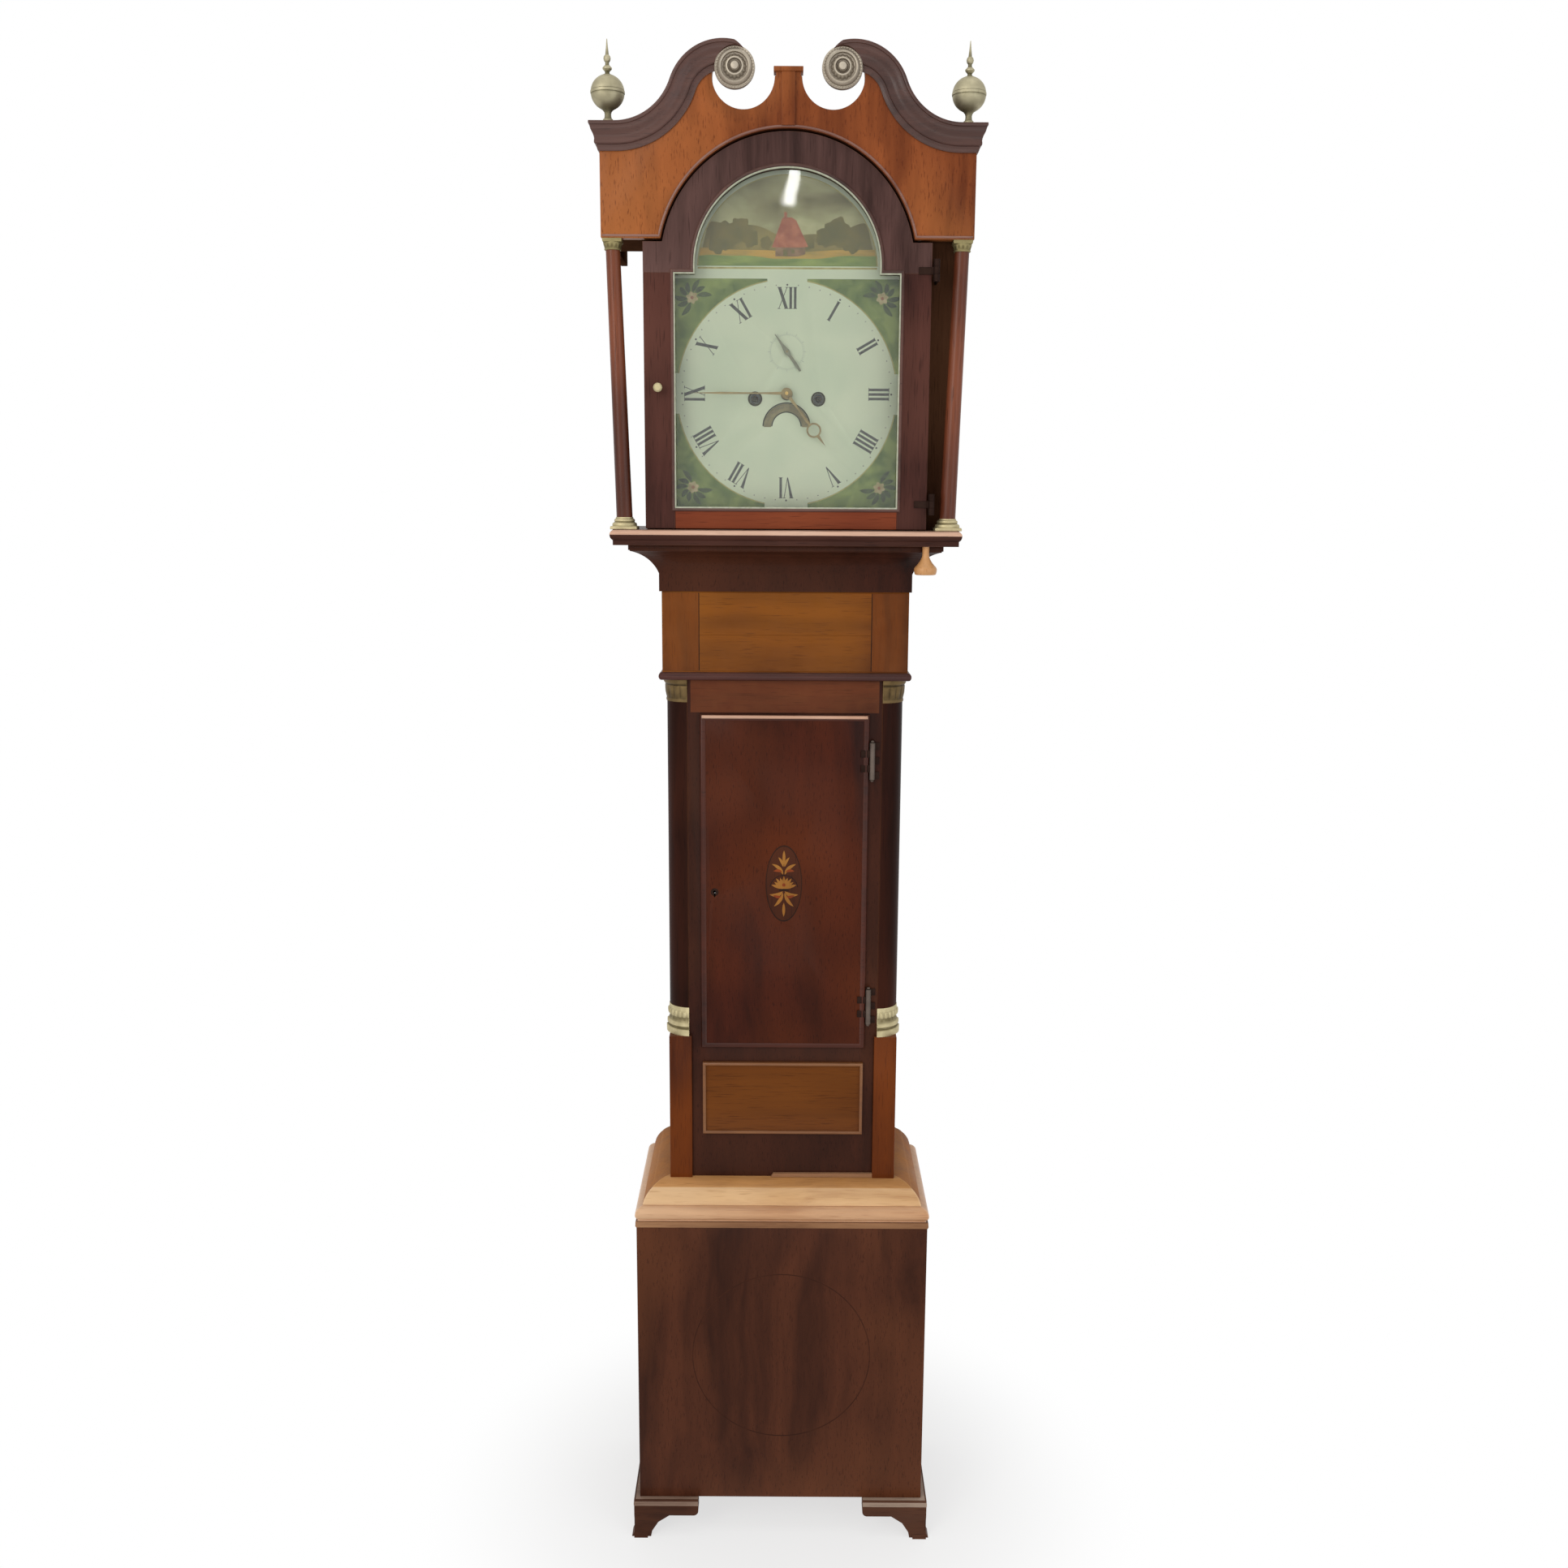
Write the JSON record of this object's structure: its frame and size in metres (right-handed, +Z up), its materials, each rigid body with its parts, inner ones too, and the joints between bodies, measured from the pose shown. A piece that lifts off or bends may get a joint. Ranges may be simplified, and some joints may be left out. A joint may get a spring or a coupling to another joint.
{
  "type": "longcase clock",
  "caption": "Tall floor clock: wooden case with plinth, trunk door and sliding hood, arched painted dial, weight-driven movement, pulleys and a swinging pendulum.",
  "frame": {"origin": "centre of the floor rectangle under the whole clock", "axes": "+Z up, -Y towards the viewer of the dial, +X to the viewer's right"},
  "size_m": [0.54, 0.281, 2.27],
  "materials": {
    "dark_mahogany": "satin French polish",
    "base_mahogany": "satin French polish",
    "red_mahogany": "satin French polish",
    "hood_mahogany": "satin French polish",
    "honey_mahogany": "satin French polish",
    "golden_mahogany": "satin French polish",
    "plinth_mahogany": "satin French polish",
    "pine": "unfinished, darkened",
    "gilt_brass": "aged gilt",
    "movement_brass": "polished",
    "hand_brass": "matt gilt",
    "steel": "polished",
    "painted_dial": "enamel paint",
    "glass": "clear",
    "gut": "natural gut",
    "beech": "waxed",
    "inlay_wood": "satin French polish"
  },
  "bodies": {
    "case": {"backboard": "pine", "base_panels": "base_mahogany", "base_moulding": "honey_mahogany", "bracket_feet": "base_mahogany", "trunk_sides": "dark_mahogany", "trunk_frame": "dark_mahogany", "lower_panel": "golden_mahogany", "corner_plinths": "plinth_mahogany", "quarter_columns": "dark_mahogany", "column_mounts": "gilt_brass", "trunk_frieze": "golden_mahogany", "trunk_cove": "dark_mahogany", "trunk_hinge_plates": "gilt_brass", "seatboard": "pine", "dial_plate": "painted_dial", "movement_frame": "movement_brass", "bell": "movement_brass", "going_line": "gut", "strike_line": "gut"},
    "hood": {"hood_base": "hood_mahogany", "hood_carcass": "hood_mahogany", "hood_frieze": "red_mahogany", "swan_necks": "hood_mahogany", "rosettes": "gilt_brass", "finials": "gilt_brass", "hood_pillars": "hood_mahogany", "pillar_mounts": "gilt_brass", "dial_mask": "hood_mahogany", "hood_pull": "beech", "hood_hinge_plates": "gilt_brass"},
    "hood_door": {"hood_door_frame": "hood_mahogany", "hood_glass": "glass", "hood_door_knob": "gilt_brass", "hood_door_hinges": "gilt_brass"},
    "trunk_door": {"trunk_door": "dark_mahogany", "door_inlay": "inlay_wood", "trunk_lock": "gilt_brass", "trunk_door_hinges": "gilt_brass"},
    "going_great_wheel": {"going_great_wheel": "movement_brass"},
    "going_barrel": {"going_barrel": "movement_brass"},
    "going_pulley": {"going_pulley": "movement_brass"},
    "going_weight": {"going_weight": "movement_brass"},
    "strike_great_wheel": {"strike_great_wheel": "movement_brass"},
    "strike_barrel": {"strike_barrel": "movement_brass"},
    "strike_pulley": {"strike_pulley": "movement_brass"},
    "strike_weight": {"strike_weight": "movement_brass"},
    "centre_wheel": {"centre_wheel": "movement_brass"},
    "third_wheel": {"third_wheel": "movement_brass"},
    "escape_wheel": {"escape_wheel": "movement_brass"},
    "anchor": {"anchor": "steel"},
    "pendulum": {"pendulum": "movement_brass"},
    "minute_hand": {"minute_hand": "hand_brass"},
    "minute_wheel": {"minute_wheel": "movement_brass"},
    "hour_hand": {"hour_hand": "hand_brass"},
    "hammer": {"hammer": "steel"},
    "date_disc": {"date_disc": "painted_dial"},
    "pin_wheel": {"pin_wheel": "movement_brass"},
    "pallet_wheel": {"pallet_wheel": "movement_brass"},
    "strike_fly": {"strike_fly": "movement_brass"},
    "lock_bolt": {"lock_bolt": "steel"}
  },
  "joints": [
    {"name": "hood_slide", "type": "slide", "parent": "case", "child": "hood", "axis": [0, -1, 0], "range_m": [0, 0.3]},
    {"name": "hood_door_hinge", "type": "hinge", "parent": "hood", "child": "hood_door", "pos_m": [0.206, -0.124, 1.8], "axis": [0, 0, 1], "range_deg": [0, 105]},
    {"name": "trunk_door_hinge", "type": "hinge", "parent": "case", "child": "trunk_door", "pos_m": [0.1315, -0.071, 1.08], "axis": [0, 0, 1], "range_deg": [0, 110]},
    {"name": "lock_bolt_slide", "type": "slide", "parent": "trunk_door", "child": "lock_bolt", "axis": [-1, 0, 0], "range_m": [0, 0.008]},
    {"name": "minute_hand_turn", "type": "hinge", "parent": "case", "child": "minute_hand", "pos_m": [0, -0.01, 1.807], "axis": [0, 1, 0], "continuous": true},
    {"name": "minute_wheel_turn", "type": "hinge", "parent": "case", "child": "minute_wheel", "pos_m": [-0.03429, -0.01, 1.8268], "axis": [0, 1, 0], "continuous": true},
    {"name": "hour_hand_turn", "type": "hinge", "parent": "case", "child": "hour_hand", "pos_m": [0, -0.01, 1.807], "axis": [0, 1, 0], "continuous": true},
    {"name": "escape_turn", "type": "hinge", "parent": "case", "child": "escape_wheel", "pos_m": [0, -0.01, 1.865], "axis": [0, 1, 0], "continuous": true},
    {"name": "third_turn", "type": "hinge", "parent": "case", "child": "third_wheel", "pos_m": [0.01341, -0.01, 1.83825], "axis": [0, 1, 0], "continuous": true},
    {"name": "centre_turn", "type": "hinge", "parent": "case", "child": "centre_wheel", "pos_m": [0, -0.01, 1.807], "axis": [0, 1, 0], "continuous": true},
    {"name": "going_great_turn", "type": "hinge", "parent": "case", "child": "going_great_wheel", "pos_m": [0.045, -0.01, 1.8], "axis": [0, 1, 0], "continuous": true},
    {"name": "fly_turn", "type": "hinge", "parent": "case", "child": "strike_fly", "pos_m": [-0.02929, -0.01, 1.87469], "axis": [0, 1, 0], "continuous": true},
    {"name": "pallet_turn", "type": "hinge", "parent": "case", "child": "pallet_wheel", "pos_m": [-0.05072, -0.01, 1.86689], "axis": [0, 1, 0], "continuous": true},
    {"name": "pin_turn", "type": "hinge", "parent": "case", "child": "pin_wheel", "pos_m": [-0.05172, -0.01, 1.83811], "axis": [0, 1, 0], "continuous": true},
    {"name": "strike_great_turn", "type": "hinge", "parent": "case", "child": "strike_great_wheel", "pos_m": [-0.045, -0.01, 1.8], "axis": [0, 1, 0], "continuous": true},
    {"name": "going_weight_drop", "type": "slide", "parent": "case", "child": "going_weight", "axis": [0, 0, 1], "range_m": [-1.05, 0.17], "deforming": ["going_line"]},
    {"name": "going_barrel_turn", "type": "hinge", "parent": "case", "child": "going_barrel", "pos_m": [0.045, -0.01, 1.8], "axis": [0, 1, 0], "range_deg": [-4920, 800]},
    {"name": "going_pulley_turn", "type": "hinge", "parent": "going_weight", "child": "going_pulley", "pos_m": [0.043, -0.01, 1.48], "axis": [0, 1, 0], "range_deg": [-2680, 440]},
    {"name": "strike_weight_drop", "type": "slide", "parent": "case", "child": "strike_weight", "axis": [0, 0, 1], "range_m": [-1.05, 0.17], "deforming": ["strike_line"]},
    {"name": "strike_barrel_turn", "type": "hinge", "parent": "case", "child": "strike_barrel", "pos_m": [-0.045, -0.01, 1.8], "axis": [0, 1, 0], "range_deg": [-4920, 800]},
    {"name": "strike_pulley_turn", "type": "hinge", "parent": "strike_weight", "child": "strike_pulley", "pos_m": [-0.047, -0.01, 1.48], "axis": [0, 1, 0], "range_deg": [-2680, 440]},
    {"name": "pendulum_swing", "type": "hinge", "parent": "case", "child": "pendulum", "pos_m": [0, 0.066, 1.895], "axis": [0, 1, 0], "range_deg": [-2.5, 2.5]},
    {"name": "anchor_rock", "type": "hinge", "parent": "case", "child": "anchor", "pos_m": [0, -0.01, 1.895], "axis": [0, 1, 0], "range_deg": [-2.5, 2.5]},
    {"name": "hammer_lift", "type": "hinge", "parent": "case", "child": "hammer", "pos_m": [-0.082, -0.01, 1.819], "axis": [0, -1, 0], "range_deg": [0, 18], "stiffness_Nm_per_rad": 0.1, "springref_deg": -11.46},
    {"name": "date_turn", "type": "hinge", "parent": "case", "child": "date_disc", "pos_m": [0, -0.08, 1.761], "axis": [0, 1, 0], "continuous": true}
  ],
  "couplings": [
    {"joint": "minute_wheel_turn", "follows": "minute_hand_turn", "ratio": -1},
    {"joint": "hour_hand_turn", "follows": "minute_hand_turn", "ratio": 0.083333},
    {"joint": "third_turn", "follows": "escape_turn", "ratio": -0.125},
    {"joint": "centre_turn", "follows": "escape_turn", "ratio": 0.016667},
    {"joint": "going_great_turn", "follows": "escape_turn", "ratio": -0.0013889},
    {"joint": "pallet_turn", "follows": "fly_turn", "ratio": -0.14},
    {"joint": "pin_turn", "follows": "fly_turn", "ratio": 0.02},
    {"joint": "strike_great_turn", "follows": "fly_turn", "ratio": -0.0020513},
    {"joint": "going_barrel_turn", "follows": "going_weight_drop", "rad_per_m": 81.633},
    {"joint": "going_pulley_turn", "follows": "going_weight_drop", "rad_per_m": 44.444},
    {"joint": "strike_barrel_turn", "follows": "strike_weight_drop", "rad_per_m": 81.633},
    {"joint": "strike_pulley_turn", "follows": "strike_weight_drop", "rad_per_m": 44.444},
    {"joint": "anchor_rock", "follows": "pendulum_swing", "ratio": 1}
  ]
}
